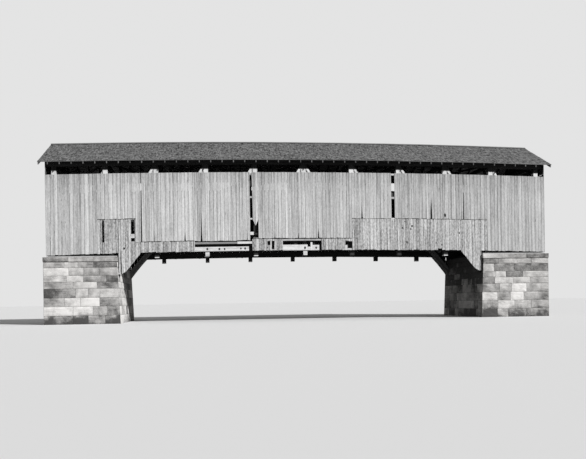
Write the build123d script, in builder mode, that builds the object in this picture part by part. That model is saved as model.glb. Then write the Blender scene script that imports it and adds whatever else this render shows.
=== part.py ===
from build123d import *
from math import asin, cos, degrees, hypot, radians, sin, sqrt
import os

# Covered timber bridge: two multiple-kingpost trusses, each clasped between a pair of arch ribs,
# under a gable roof, boarded outside, standing on two cut-stone abutments.
# Millimetres. X runs along the bridge, the boarded side with the gaps faces -Y, Z is up.
# The origin is midspan between the trusses, level with the foot of the abutments.
# Heights are those at midspan: the timbers are cambered and lie lower towards the ends.

# Trusses
panel = 2700.0
half_panels = 5
truss_spacing = 5900.0
camber_rise = 186.0
truss_overrun = 400.0

# Bottom chord, a pair of timbers either side of the posts' necks
chord_bottom = 3880.0
chord_depth = 330.0
neck_thickness = 100.0

# Posts
post_width = 250.0
post_thickness = 300.0
tail_length = 280.0
tail_width = 236.0
last_tailed_post = 3

# Braces between the posts
brace_depth = 230.0
brace_thickness = 180.0
brace_heel = 150.0
brace_head_drop = 230.0

# Plate along the post heads
plate_bottom = 8680.0
plate_depth = 280.0

# Arches
arch_radius = 12520.0
arch_crown = 7800.0
arch_depth = 300.0
arch_rib_thickness = 115.0
arch_foot_angle = 56.0
side_clearance = 0.3

# Floor
beam_depth = 300.0
beam_width = 200.0
beam_first_offset = 600.0
beam_pitch = 800.0
beams_per_panel = 3
end_beam_offset = 270.0
stringer_depth = 150.0
stringer_width = 100.0
stringer_pitch = 800.0
stringer_count = 7
deck_thickness = 75.0
deck_width = 5180.0

# Tie beams, knees and laterals between the plates
tie_depth = 200.0
tie_width = 200.0
tie_lift = 20.0
knee_depth = 120.0
knee_width = 120.0
knee_foot = 7860.0
crown_knee_foot = 7400.0
lateral_size = 100.0
lateral_lift = 80.0
lateral_clearance = 20.0

# Roof
ridge_height = 10560.0
eave_reach = 3600.0
eave_height = 8880.0
roof_thickness = 50.0
roof_overhang = 750.0
rafter_depth = 130.0
rafter_width = 50.0
rafter_pitch = 615.0
rafter_shift = -200.0
rafter_tail_setback = 40.0
verge_setback = 50.0
ridge_cap_width = 170.0
ridge_cap_thickness = 22.0

# Boarding
nailer_thickness = 45.0
nailer_width = 100.0
nailer_heights = [8130.0, 6830.0, 5640.0, 4820.0, 4395.0]
foot_nailer_bottom = 3890.0
foot_nailer_width = 240.0
block_width = 160.0
board_thickness = 25.0
siding_top = 8220.0
siding_bottom = 3880.0
apron_seam = 5640.0
left_apron_seam = 5725.0
patch_seam = 4450.0
middle_seam = 4530.0
seam_gap = 6.0
left_apron_outer = -11230.0
left_apron_inner = -9200.0
left_slot = -9450.0
left_slot_width = 200.0
left_slot_top = 5640.0
left_slot_bottom = 4530.0
left_gap = -3010.0
left_gap_width = 100.0
narrow_slot = -10970.0
narrow_slot_width = 80.0
broken_board_edge = -2560.0
broken_board_head = 5600.0
broken_board_foot = 4640.0
back_joint = 4050.0
right_gap = 4940.0
right_gap_width = 180.0
right_apron_inner = 2660.0
right_apron_outer = 10500.0
left_patch = (-8940.0, -6040.0)
middle_patches = [(-2910.0, -1220.0), (930.0, 2280.0)]
skirt_top_x = 8940.0
skirt_top = 3760.0
skirt_toe_x = 9880.0
skirt_toe = 2630.0
skirt_outer_x = 10130.0
back_skirt_top_x = 9300.0
back_skirt_toe_x = 10000.0
back_skirt_toe = 2950.0

# Portals
portal_half_width = 2600.0
portal_head = 8150.0

# Abutments
abutment_face_foot = 10050.0
abutment_face_top = 10200.0
abutment_back = 14050.0
abutment_width = 6800.0
masonry_height = 3350.0
seat_height = 250.0
seat_lip = 30.0
pocket_margin = 20.0
pocket_headroom = 60.0
bed_timber_places = [10500.0, 12000.0, 13600.0]
bed_timber_width = 250.0

# Sizes that follow from those above
half_length = half_panels * panel + truss_overrun
chord_top = chord_bottom + chord_depth
plate_top = plate_bottom + plate_depth
half_post = post_thickness / 2
post_places = [n * panel for n in range(-half_panels, half_panels + 1)]
tailed_places = [n * panel for n in range(-last_tailed_post, last_tailed_post + 1)]
arch_centre = arch_crown - arch_radius
arch_outer_radius = arch_radius + arch_depth
rib_inner = half_post + side_clearance
rib_outer = half_post + arch_rib_thickness
nailer_outer = rib_outer + nailer_thickness
board_outer = nailer_outer + board_thickness
wall_reach = truss_spacing / 2 + board_outer
plate_reach = truss_spacing / 2 - half_post
seat_top = masonry_height + seat_height
roof_slope = (ridge_height - eave_height) / eave_reach
roof_half_length = half_panels * panel + roof_overhang
slab_drop = roof_thickness * sqrt(1 + roof_slope**2)
rafter_drop = rafter_depth * sqrt(1 + roof_slope**2)

os.makedirs("parts", exist_ok=True)


def save(piece, name):
    """Label a finished piece and write it out."""
    piece.part.label = name
    export_step(piece.part, f"parts/{name}.step")


def drop(x):
    """How far the cambered timbers at x lie below their height at midspan."""
    bay = min(int(abs(x) // panel), half_panels - 1)
    share = abs(x) / panel - bay
    squares = bay**2 + share * ((bay + 1) ** 2 - bay**2)
    return camber_rise * squares / half_panels**2


def cambered(corners):
    """The outline lowered by the camber, with a point where an edge passes a post."""
    outline = []
    for (x1, z1), (x2, z2) in zip(corners, corners[1:] + corners[:1]):
        passed = [x for x in post_places if min(x1, x2) < x < max(x1, x2)]
        for x in [x1] + sorted(passed, reverse=x2 < x1):
            share = (x - x1) / (x2 - x1) if x1 != x2 else 0
            outline.append((x, z1 + share * (z2 - z1) - drop(x)))
    return outline


def strip(x1, x2, bottom, top):
    """Corners of a long timber between two heights."""
    return [(x1, bottom), (x2, bottom), (x2, top), (x1, top)]


def front(outward):
    """The upright plane at a distance outside the centre of the front truss."""
    return Plane.XZ.offset(truss_spacing / 2 + outward)


def both_sides(name, piece):
    """Write the front piece, and its mirror image for the back truss."""
    save(piece, f"front_{name}")
    with BuildPart() as twin:
        mirror(piece.part, about=Plane.XZ)
    save(twin, f"back_{name}")


def flipped(corners):
    """The same outline at the other end of the bridge."""
    return [(-x, z) for x, z in reversed(corners)]


# Bottom chords: two timbers a side, notched over by the posts
with BuildPart() as bottom_chord:
    for inner_face in (neck_thickness / 2, -half_post):
        with BuildSketch(front(inner_face)):
            Polygon(*cambered(strip(-half_length, half_length, chord_bottom, chord_top)), align=None)
        extrude(amount=half_post - neck_thickness / 2)
both_sides("bottom_chord", bottom_chord)

# Posts: a full shaft on the chords, a neck between them and a tail below
with BuildPart() as posts:
    with BuildSketch(front(-half_post)):
        for x in post_places:
            shaft = strip(x - post_width / 2, x + post_width / 2, chord_top, plate_bottom)
            Polygon(*cambered(shaft), align=None)
        for x in tailed_places:
            tail = strip(x - tail_width / 2, x + tail_width / 2, chord_bottom - tail_length, chord_bottom)
            Polygon(*cambered(tail), align=None)
    extrude(amount=post_thickness)
    with BuildSketch(front(-neck_thickness / 2)):
        for x in post_places:
            neck = strip(x - post_width / 2, x + post_width / 2, chord_bottom, chord_top)
            Polygon(*cambered(neck), align=None)
    extrude(amount=neck_thickness)
both_sides("posts", posts)

# Braces: each leans from the foot of a post to the head of the next one towards midspan
run = panel - post_width
brace_slope = (plate_bottom - brace_head_drop - chord_top - brace_heel) / run
brace_secant = sqrt(1 + brace_slope**2)
foot_reach = brace_depth * brace_secant / brace_slope - brace_heel / brace_slope
crest = plate_bottom - brace_head_drop
with BuildPart() as braces:
    with BuildSketch(front(-brace_thickness / 2)):
        for number in range(1, half_panels + 1):
            foot = number * panel - post_width / 2
            head = foot - run
            corners = [
                (foot, chord_top),
                (foot, chord_top + brace_heel),
                (head, crest),
                (head, crest - brace_depth * brace_secant),
                (foot - foot_reach, chord_top),
            ]
            for outline in (corners, flipped(corners)):
                Polygon(*[(x, z - drop(x)) for x, z in outline], align=None)
    extrude(amount=brace_thickness)
both_sides("braces", braces)

# Arch ribs: one on each face of the posts, sprung from pockets in the abutments.
# Each is spliced from curved timbers that meet at the posts, over the creek
splices = [-degrees(asin(x / arch_radius)) for x in tailed_places]
joint_angles = [arch_foot_angle] + splices + [-arch_foot_angle]
joint_gap = degrees(side_clearance / arch_radius)
for face, start in (("outer", rib_inner), ("inner", -rib_outer)):
    with BuildPart() as rib:
        with BuildSketch(front(start)):
            for from_angle, to_angle in zip(joint_angles, joint_angles[1:]):
                first = 90 - from_angle + joint_gap / 2
                turned = from_angle - to_angle - joint_gap
                with BuildLine():
                    soffit = CenterArc((0, arch_centre), arch_radius, first, turned)
                    back = CenterArc((0, arch_centre), arch_outer_radius, first, turned)
                    Line(soffit @ 0, back @ 0)
                    Line(soffit @ 1, back @ 1)
                make_face()
        extrude(amount=rib_outer - rib_inner)
    both_sides(f"arch_rib_{face}", rib)

# Plates along the post heads
with BuildPart() as top_plate:
    with BuildSketch(front(-half_post)):
        Polygon(*cambered(strip(-half_length, half_length, plate_bottom, plate_top)), align=None)
    extrude(amount=post_thickness)
both_sides("top_plate", top_plate)


def arch_height(radius, x):
    """Height of a circle of the arch at x."""
    return arch_centre + sqrt(radius**2 - x**2)


def meets_arch(x, half_width, bottom, top):
    """Whether the arch passes through an upright rectangle beside the truss."""
    near, far = max(abs(x) - half_width, 0), abs(x) + half_width
    if far > arch_radius * sin(radians(arch_foot_angle)):
        return False
    lowest = arch_height(arch_radius, far) - side_clearance
    highest = arch_height(arch_outer_radius, near) + side_clearance
    return lowest < top and highest > bottom


# Floor beams lie on the chords, between the braces and clear of the arches
beam_places = [half_panels * panel + end_beam_offset]
for number in range(1, half_panels + 1):
    for step in range(beams_per_panel):
        x = number * panel - beam_first_offset - step * beam_pitch
        seat = chord_top - drop(x)
        if not meets_arch(x, beam_width / 2, seat, seat + beam_depth):
            beam_places.append(x)
with BuildPart() as floor_beams:
    with BuildSketch(Plane.XZ.offset(-truss_spacing / 2 - half_post)):
        for x in beam_places + [-x for x in beam_places]:
            left, right = x - beam_width / 2, x + beam_width / 2
            Polygon(*cambered(strip(left, right, chord_top, chord_top + beam_depth)), align=None)
    extrude(amount=truss_spacing + post_thickness)
save(floor_beams, "floor_beams")

# Stringers on the floor beams
stringer_bottom = chord_top + beam_depth
deck_bottom = stringer_bottom + stringer_depth
with BuildPart() as floor_stringers:
    for step in range(stringer_count):
        y = (step - (stringer_count - 1) / 2) * stringer_pitch
        with BuildSketch(Plane.XZ.offset(y - stringer_width / 2)):
            Polygon(*cambered(strip(-half_length, half_length, stringer_bottom, deck_bottom)), align=None)
        extrude(amount=stringer_width)
save(floor_stringers, "floor_stringers")

# Deck on the stringers
with BuildPart() as floor_deck:
    with BuildSketch(Plane.XZ.offset(-deck_width / 2)):
        corners = strip(-half_length, half_length, deck_bottom, deck_bottom + deck_thickness)
        Polygon(*cambered(corners), align=None)
    extrude(amount=deck_width)
save(floor_deck, "floor_deck")

# Tie beams from plate to plate over each pair of posts
tie_bottom = plate_bottom + tie_lift
with BuildPart() as tie_beams:
    with BuildSketch(Plane.XZ.offset(-plate_reach)):
        for x in post_places:
            corners = strip(x - tie_width / 2, x + tie_width / 2, tie_bottom, tie_bottom + tie_depth)
            Polygon(*[(px, pz - drop(x)) for px, pz in corners], align=None)
    extrude(amount=2 * plate_reach)
save(tie_beams, "tie_beams")

# Knees from the posts up to the tie beams, lower at midspan where the arch crown passes
with BuildPart() as knee_braces:
    for x in post_places:
        foot = crown_knee_foot if x == 0 else knee_foot
        bottom, top = foot - drop(x), tie_bottom - drop(x)
        thick = knee_depth * sqrt(2)
        corners = [
            (-plate_reach, bottom),
            (-plate_reach + top - bottom, top),
            (-plate_reach + top - bottom - thick, top),
            (-plate_reach, bottom + thick),
        ]
        with BuildSketch(Plane.YZ.offset(x - knee_width / 2)):
            Polygon(*corners, align=None)
        extrude(amount=knee_width)
both_sides("knee_braces", knee_braces)

# Laterals lie flat between the plates, one to a panel, leaning alternately
with BuildPart() as upper_laterals:
    for number in range(2 * half_panels):
        start = post_places[number] + tie_width / 2 + lateral_clearance
        end = post_places[number + 1] - tie_width / 2 - lateral_clearance
        foot = lateral_size * hypot(2 * plate_reach, end - start) / (2 * plate_reach)
        turn = 1 if number % 2 else -1
        level = plate_bottom + lateral_lift - drop((start + end) / 2)
        corners = [
            (start, -turn * plate_reach),
            (start + foot, -turn * plate_reach),
            (end, turn * plate_reach),
            (end - foot, turn * plate_reach),
        ]
        with BuildSketch(Plane.XY.offset(level)):
            Polygon(*corners, align=None)
        extrude(amount=lateral_size)
save(upper_laterals, "upper_laterals")


def roof_under(y):
    """Height of the underside of the roof boards at a distance from the ridge line."""
    return ridge_height - slab_drop - roof_slope * y


def carry(corners, x1, x2):
    """Solids of a cross-section carried along the bridge, bending with the camber at each post."""
    stops = [x1] + [x for x in post_places if x1 < x < x2] + [x2]
    lengths = []
    for start, end in zip(stops, stops[1:]):
        fall = drop(start) - drop(end)
        reach = hypot(end - start, fall)
        with BuildSketch(Plane.YZ.offset(start)) as section:
            Polygon(*[(y, z - drop(start)) for y, z in corners], align=None)
        lengths.append(extrude(section.sketch, reach, dir=(end - start, 0, fall), mode=Mode.PRIVATE))
    return lengths


# Rafters: notched over the plates, tails showing under the eaves, a verge rafter at each gable
plate_face = truss_spacing / 2 + half_post
tail_reach = eave_reach - rafter_tail_setback
seat_inner = (ridge_height - slab_drop - rafter_drop - plate_top) / roof_slope
last_rafter = int((half_length - rafter_width) // rafter_pitch)
rafter_places = [n * rafter_pitch + rafter_shift for n in range(-last_rafter, last_rafter + 1)]
verge_places = [roof_half_length - verge_setback, -roof_half_length + verge_setback]
rafter_outline = [
    (0, roof_under(0)),
    (-tail_reach, roof_under(tail_reach)),
    (-tail_reach, roof_under(tail_reach) - rafter_drop),
    (-plate_face, roof_under(plate_face) - rafter_drop),
    (-plate_face, plate_top),
    (-seat_inner, plate_top),
    (0, roof_under(0) - rafter_drop),
]
lengths = []
for x in rafter_places + verge_places:
    lengths += carry(rafter_outline, x - rafter_width / 2, x + rafter_width / 2)
with BuildPart() as rafters:
    add(lengths)
both_sides("rafters", rafters)

# Roof slopes: boards and shingles as one thickness
with BuildPart() as roof:
    corners = [
        (0, ridge_height),
        (-eave_reach, eave_height),
        (-eave_reach, eave_height - slab_drop),
        (0, ridge_height - slab_drop),
    ]
    add(carry(corners, -roof_half_length, roof_half_length))
both_sides("roof", roof)

# Ridge cap: two boards meeting over the ridge
cap_rise = ridge_cap_thickness * sqrt(1 + roof_slope**2)
cap_edge = ridge_height - roof_slope * ridge_cap_width
with BuildPart() as ridge_cap:
    corners = [
        (0, ridge_height),
        (ridge_cap_width, cap_edge),
        (ridge_cap_width, cap_edge + cap_rise),
        (0, ridge_height + cap_rise),
        (-ridge_cap_width, cap_edge + cap_rise),
        (-ridge_cap_width, cap_edge),
    ]
    add(carry(corners, -roof_half_length, roof_half_length))
save(ridge_cap, "ridge_cap")

# Nailers: rails that carry the boards, held off the posts by blocks
nailer_rows = [(z - nailer_width / 2, z + nailer_width / 2) for z in nailer_heights]
nailer_rows.append((foot_nailer_bottom, foot_nailer_bottom + foot_nailer_width))
with BuildPart() as nailers:
    with BuildSketch(front(rib_outer)):
        for bottom, top in nailer_rows:
            Polygon(*cambered(strip(-half_length, half_length, bottom, top)), align=None)
    extrude(amount=nailer_thickness)
both_sides("nailers", nailers)

with BuildPart() as nailer_blocks:
    with BuildSketch(front(half_post)):
        for bottom, top in nailer_rows:
            for x in post_places:
                if not meets_arch(x, block_width / 2, bottom - drop(x), top - drop(x)):
                    block = strip(x - block_width / 2, x + block_width / 2, bottom, top)
                    Polygon(*cambered(block), align=None)
    extrude(amount=arch_rib_thickness)
both_sides("nailer_blocks", nailer_blocks)

# Boarding. Each sheet stands for a run of upright boards
skirt_fall = (skirt_top - skirt_toe) / (skirt_toe_x - skirt_top_x)


def skirt_edge(x):
    """The sloping lower edge of the boards beside the arch foot, as a midspan height."""
    return skirt_top - skirt_fall * (abs(x) - skirt_top_x) + drop(x)


upper_seam = apron_seam + seam_gap
board_outlines = {
    "front_siding_left": [
        (-half_length, siding_top),
        (-half_length, siding_bottom),
        (left_apron_outer, siding_bottom),
        (left_apron_outer, left_apron_seam + seam_gap),
        (left_apron_inner, left_apron_seam + seam_gap),
        (left_apron_inner, patch_seam + seam_gap),
        (left_gap, patch_seam + seam_gap),
        (left_gap, siding_top),
    ],
    "front_siding_middle": [
        (left_gap + left_gap_width, siding_top),
        (left_gap + left_gap_width, middle_seam + seam_gap),
        (right_apron_inner, middle_seam + seam_gap),
        (right_apron_inner, upper_seam),
        (right_gap, upper_seam),
        (right_gap, siding_top),
    ],
    "front_siding_right": [
        (right_gap + right_gap_width, siding_top),
        (right_gap + right_gap_width, upper_seam),
        (right_apron_outer, upper_seam),
        (right_apron_outer, siding_bottom),
        (half_length, siding_bottom),
        (half_length, siding_top),
    ],
    "front_left_apron": [
        (left_apron_inner, left_apron_seam),
        (left_apron_outer, left_apron_seam),
        (left_apron_outer, siding_bottom),
        (-skirt_outer_x, siding_bottom),
        (-skirt_outer_x, skirt_toe + drop(skirt_outer_x)),
        (-skirt_toe_x, skirt_toe + drop(skirt_toe_x)),
        (left_apron_inner, skirt_edge(left_apron_inner)),
    ],
    "front_right_apron": [
        (right_apron_inner, apron_seam),
        (right_apron_inner, siding_bottom),
        (skirt_top_x, siding_bottom),
        (skirt_top_x, apron_seam),
    ],
    "front_right_skirt": [
        (skirt_top_x, apron_seam),
        (skirt_top_x, skirt_edge(skirt_top_x)),
        (skirt_toe_x, skirt_toe + drop(skirt_toe_x)),
        (skirt_outer_x, skirt_toe + drop(skirt_outer_x)),
        (skirt_outer_x, siding_bottom),
        (right_apron_outer, siding_bottom),
        (right_apron_outer, apron_seam),
    ],
}
board_slots = {
    "front_left_apron": [
        strip(left_slot, left_slot + left_slot_width, left_slot_bottom, left_slot_top),
        strip(narrow_slot, narrow_slot + narrow_slot_width, left_slot_bottom, left_slot_top),
    ],
    "front_siding_middle": [
        strip(left_gap, broken_board_edge, broken_board_foot, broken_board_head),
    ],
}
for name, corners in board_outlines.items():
    with BuildPart() as boards:
        with BuildSketch(front(nailer_outer)):
            Polygon(*cambered(corners), align=None)
            for slot in board_slots.get(name, []):
                Polygon(*cambered(slot), align=None, mode=Mode.SUBTRACT)
        extrude(amount=board_thickness)
    save(boards, name)

first_board = [
    (left_apron_inner, patch_seam),
    (left_apron_inner, skirt_edge(left_apron_inner)),
    (-skirt_top_x - seam_gap, skirt_edge(skirt_top_x + seam_gap)),
    (-skirt_top_x - seam_gap, patch_seam),
]
with BuildPart() as lower_boards:
    with BuildSketch(front(nailer_outer)):
        Polygon(*cambered(first_board), align=None)
        Polygon(*cambered(strip(*left_patch, siding_bottom, patch_seam)), align=None)
        for start, end in middle_patches:
            Polygon(*cambered(strip(start, end, siding_bottom, middle_seam)), align=None)
    extrude(amount=board_thickness)
save(lower_boards, "front_lower_boards")

# The back wall repeats the boards and the aprons without the gaps, and shows the arches' undersides
back_end = [
    (-half_length, siding_top),
    (-half_length, siding_bottom),
    (left_apron_outer, siding_bottom),
    (left_apron_outer, upper_seam),
    (-back_skirt_top_x, upper_seam),
    (-back_skirt_top_x, siding_bottom),
    (-back_joint, siding_bottom),
    (-back_joint, siding_top),
]
back_apron = [
    (-back_skirt_top_x, apron_seam),
    (left_apron_outer, apron_seam),
    (left_apron_outer, siding_bottom),
    (-skirt_outer_x, siding_bottom),
    (-skirt_outer_x, back_skirt_toe + drop(skirt_outer_x)),
    (-back_skirt_toe_x, back_skirt_toe + drop(back_skirt_toe_x)),
    (-back_skirt_top_x, siding_bottom),
]
back_outlines = {
    "back_siding_left": back_end,
    "back_siding_middle": strip(-back_joint, back_joint, siding_bottom, siding_top),
    "back_siding_right": flipped(back_end),
    "back_left_apron": back_apron,
    "back_right_apron": flipped(back_apron),
}
for name, corners in back_outlines.items():
    with BuildPart() as boards:
        with BuildSketch(Plane.XZ.offset(-wall_reach)):
            Polygon(*cambered(corners), align=None)
        extrude(amount=board_thickness)
    save(boards, name)

# Gables: boards over the portal, and on each side of it
for end, x in (("left", -half_length - board_thickness), ("right", half_length)):
    with BuildPart() as gable:
        head = portal_head + drop(half_length)
        corners = [
            (-wall_reach, head),
            (wall_reach, head),
            (wall_reach, roof_under(wall_reach)),
            (0, roof_under(0)),
            (-wall_reach, roof_under(wall_reach)),
        ]
        add(carry(corners, x, x + board_thickness))
    save(gable, f"{end}_gable")
    with BuildPart() as portal_boards:
        for turn in (-1, 1):
            corners = [
                (turn * portal_half_width, siding_bottom),
                (turn * wall_reach, siding_bottom),
                (turn * wall_reach, head),
                (turn * portal_half_width, head),
            ]
            add(carry(corners, x, x + board_thickness))
    save(portal_boards, f"{end}_portal_boards")

# Abutments: battered creek face, with a pocket in it for the foot of each pair of arch ribs
angle = radians(arch_foot_angle)
rib_toe = (arch_radius * sin(angle), arch_centre + arch_radius * cos(angle))
rib_heel = (arch_outer_radius * sin(angle), arch_centre + arch_outer_radius * cos(angle))
pocket_top = arch_height(arch_outer_radius, abutment_face_top) + pocket_headroom
pocket_width = 2 * (rib_outer + pocket_margin)
pocket_outline = [
    rib_toe,
    rib_heel,
    (rib_heel[0], pocket_top),
    (abutment_face_foot, pocket_top),
    (abutment_face_foot, arch_height(arch_radius, abutment_face_foot)),
]
with BuildPart() as abutment:
    with BuildSketch(Plane.XZ.offset(-abutment_width / 2)):
        Polygon(
            (abutment_face_foot, 0),
            (abutment_back, 0),
            (abutment_back, masonry_height),
            (abutment_face_top, masonry_height),
            align=None,
        )
    extrude(amount=abutment_width)
    for y in (-truss_spacing / 2, truss_spacing / 2):
        with BuildSketch(Plane.XZ.offset(y - pocket_width / 2)):
            Polygon(*pocket_outline, align=None)
        extrude(amount=pocket_width, mode=Mode.SUBTRACT)

# Bridge seats: a course of longer stones on each abutment
with BuildPart() as bridge_seat:
    with BuildSketch(Plane.XZ.offset(-abutment_width / 2 - seat_lip)):
        Polygon(
            (abutment_face_top - seat_lip, masonry_height),
            (abutment_back + seat_lip, masonry_height),
            (abutment_back + seat_lip, seat_top),
            (abutment_face_top - seat_lip, seat_top),
            align=None,
        )
    extrude(amount=abutment_width + 2 * seat_lip)

# Bed timbers: across each seat, dressed to the slope of the chords
bed_timber_length = truss_spacing + 2 * rib_outer
with BuildPart() as bed_timbers:
    for x in bed_timber_places:
        left, right = x - bed_timber_width / 2, x + bed_timber_width / 2
        corners = [
            (left, seat_top),
            (right, seat_top),
            (right, chord_bottom - drop(right)),
            (left, chord_bottom - drop(left)),
        ]
        with BuildSketch(Plane.XZ.offset(-bed_timber_length / 2)):
            Polygon(*corners, align=None)
        extrude(amount=bed_timber_length)

# Sleepers: under the chords, fitted between the bed timbers
with BuildPart() as sleepers:
    for y in (-truss_spacing / 2, truss_spacing / 2):
        with BuildSketch(Plane.XZ.offset(y - half_post)):
            for near, far in zip(bed_timber_places, bed_timber_places[1:]):
                left, right = near + bed_timber_width / 2, far - bed_timber_width / 2
                corners = [
                    (left, seat_top),
                    (right, seat_top),
                    (right, chord_bottom - drop(right)),
                    (left, chord_bottom - drop(left)),
                ]
                Polygon(*corners, align=None)
        extrude(amount=post_thickness)

bank_pieces = {
    "abutment": abutment,
    "bridge_seat": bridge_seat,
    "bed_timbers": bed_timbers,
    "sleepers": sleepers,
}
for name, piece in bank_pieces.items():
    save(piece, f"right_{name}")
    with BuildPart() as twin:
        mirror(piece.part, about=Plane.YZ)
    save(twin, f"left_{name}")
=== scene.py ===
# %% [markdown]
# # A covered timber bridge
#
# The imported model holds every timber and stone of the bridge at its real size. This lesson dresses
# it with single boards, shingles, coursed stone, worn edges and grain. All sizes are in metres, in
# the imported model's frame: X runs along the bridge, the side with the gaps faces -Y and Z is up.

import math
import random
from itertools import pairwise

import bmesh
import bpy
from mathutils import Matrix, Vector, noise


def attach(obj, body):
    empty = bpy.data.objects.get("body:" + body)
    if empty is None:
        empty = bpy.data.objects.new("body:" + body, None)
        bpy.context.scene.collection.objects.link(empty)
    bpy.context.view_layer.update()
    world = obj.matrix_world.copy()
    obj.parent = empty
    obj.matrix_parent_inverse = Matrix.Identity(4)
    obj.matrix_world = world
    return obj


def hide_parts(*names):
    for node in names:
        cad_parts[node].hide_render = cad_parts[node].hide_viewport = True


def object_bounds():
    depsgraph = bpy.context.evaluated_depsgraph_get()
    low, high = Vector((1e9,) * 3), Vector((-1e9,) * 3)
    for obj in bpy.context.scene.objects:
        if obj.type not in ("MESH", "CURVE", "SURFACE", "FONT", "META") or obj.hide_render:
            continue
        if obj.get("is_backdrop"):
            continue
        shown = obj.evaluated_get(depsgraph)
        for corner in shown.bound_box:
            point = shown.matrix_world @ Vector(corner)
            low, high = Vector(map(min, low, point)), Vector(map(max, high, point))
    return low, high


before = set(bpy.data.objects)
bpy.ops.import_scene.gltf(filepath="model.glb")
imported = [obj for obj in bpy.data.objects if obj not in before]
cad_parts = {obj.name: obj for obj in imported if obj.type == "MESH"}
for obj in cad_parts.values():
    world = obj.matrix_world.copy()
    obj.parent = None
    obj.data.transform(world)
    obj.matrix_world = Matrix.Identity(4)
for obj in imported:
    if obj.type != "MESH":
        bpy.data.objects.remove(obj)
cad_low, cad_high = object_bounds()
scene = bpy.context.scene
print("pieces in the frame:", len(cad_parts), "from", cad_low, "to", cad_high)

# %% [markdown]
# ## The sizes of the bridge
#
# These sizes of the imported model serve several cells. The bridge is framed with an upward bow.
# Heights are given as they are at midspan, and one function lowers them towards the ends, straight
# from post to post as the timbers lie.

# %% Sizes and camber
BAYS = 5
PANEL = 2.70
POSTS = [number * PANEL for number in range(-BAYS, BAYS + 1)]
POST_WIDTH = 0.25
TRUSSES = (-2.95, 2.95)
HALF_LENGTH = 13.90
CAMBER = 0.186
CHORD_TOP = 4.21
BRACE_HEEL = 0.15
BRACE_CREST = 8.45
BRACE_SLOPE = (BRACE_CREST - CHORD_TOP - BRACE_HEEL) / (PANEL - POST_WIDTH)
ARCH_CROWN = 7.80
ARCH_RADIUS = 12.52
ARCH_DEPTH = 0.30
ARCH_CENTRE = ARCH_CROWN - ARCH_RADIUS
RIDGE = 10.56
EAVE = 8.88
EAVE_REACH = 3.60
ROOF_SLOPE = (RIDGE - EAVE) / EAVE_REACH
ROOF_HALF = 14.25
ROOF_THICKNESS = 0.05
WALL_INNER = 3.26
BOARD_THICKNESS = 0.025
FOOT = 3.88
SEAT_FOOT = 3.35
SEAT_TOP = 3.60


def fall(x):
    """How far the camber has fallen at x, in straight runs from post to post."""
    bay = min(int(abs(x) / PANEL), BAYS - 1)
    share = abs(x) / PANEL - bay
    return CAMBER * (bay**2 + share * (2 * bay + 1)) / BAYS**2


def lengths(start, end):
    """The lengths that something long is laid in, to bend at each post."""
    return pairwise([start] + [post for post in POSTS if start < post < end] + [end])


print("fall at the ends:", round(fall(HALF_LENGTH), 4))

# %% [markdown]
# ## The camera
#
# The photograph was taken from below, a little left of the middle, with the camera level and its
# lens shifted up, so that the posts stay upright. Fitting the lines of the bridge gives its place,
# its turn to the right, a slight roll and the shift.

# %% Camera
IMAGE_WIDTH = 586
SENSOR_WIDTH = 36.0
FOCAL_PIXELS = 731.93
CAMERA_PLACE = Vector((-5.147, -43.53, 1.10))
YAW = 0.1113
ROLL = 0.0149
HORIZON_SHIFT = 71.10

eye = bpy.data.cameras.new("level_view")
eye.sensor_fit = "HORIZONTAL"
eye.sensor_width = SENSOR_WIDTH
eye.lens = FOCAL_PIXELS * SENSOR_WIDTH / IMAGE_WIDTH
eye.shift_x = -HORIZON_SHIFT * math.sin(ROLL) / IMAGE_WIDTH
eye.shift_y = HORIZON_SHIFT * math.cos(ROLL) / IMAGE_WIDTH
eye.clip_end = 1000
camera = bpy.data.objects.new("level_view", eye)
scene.collection.objects.link(camera)
camera.matrix_world = (
    Matrix.Translation(CAMERA_PLACE)
    @ Matrix.Rotation(-YAW, 4, "Z")
    @ Matrix.Rotation(math.radians(90), 4, "X")
    @ Matrix.Rotation(-ROLL, 4, "Z")
)
scene.camera = camera
print("lens", round(eye.lens, 2), "mm, shift", round(eye.shift_y, 4))

# %% [markdown]
# ## Shader sums in Python
#
# Most of a finish is arithmetic: a streak times a tone, plus a stain. One small class wraps a
# socket, so that the usual signs build the Math nodes. One method makes every other node.


# %% Sockets that can be added and multiplied
class Wire:
    """The output of a node, which arithmetic turns into more nodes."""

    def __init__(self, finish, socket):
        self.finish = finish
        self.socket = socket

    def beside(self, output):
        return Wire(self.finish, self.socket.node.outputs[output])

    def maths(self, operation, first, second):
        return self.finish.node("ShaderNodeMath", {"operation": operation}, {0: first, 1: second})

    def __add__(self, other):
        return self.maths("ADD", self, other)

    def __sub__(self, other):
        return self.maths("SUBTRACT", self, other)

    def __rsub__(self, other):
        return self.maths("SUBTRACT", other, self)

    def __mul__(self, other):
        return self.maths("MULTIPLY", self, other)

    def __abs__(self):
        return self.maths("ABSOLUTE", self, 0)

    def swing(self, share):
        """What a pattern from 0 to 1 adds to a shade, darker or lighter."""
        return (self - 0.5) * share

    def spread(self, low, high):
        """From 0 at low to 1 at high."""
        inputs = {"Value": self, "From Min": low, "From Max": high}
        return self.finish.node("ShaderNodeMapRange", {"clamp": True}, inputs)

    def fade(self, low, high):
        """From 1 at low to 0 at high."""
        return 1 - self.spread(low, high)

    def mix(self, first, second):
        """One colour turning into another, at a Mix node's seventh and eighth sockets."""
        inputs = {0: self, 6: first, 7: second}
        return self.finish.node("ShaderNodeMix", {"data_type": "RGBA"}, inputs, 2)


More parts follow.
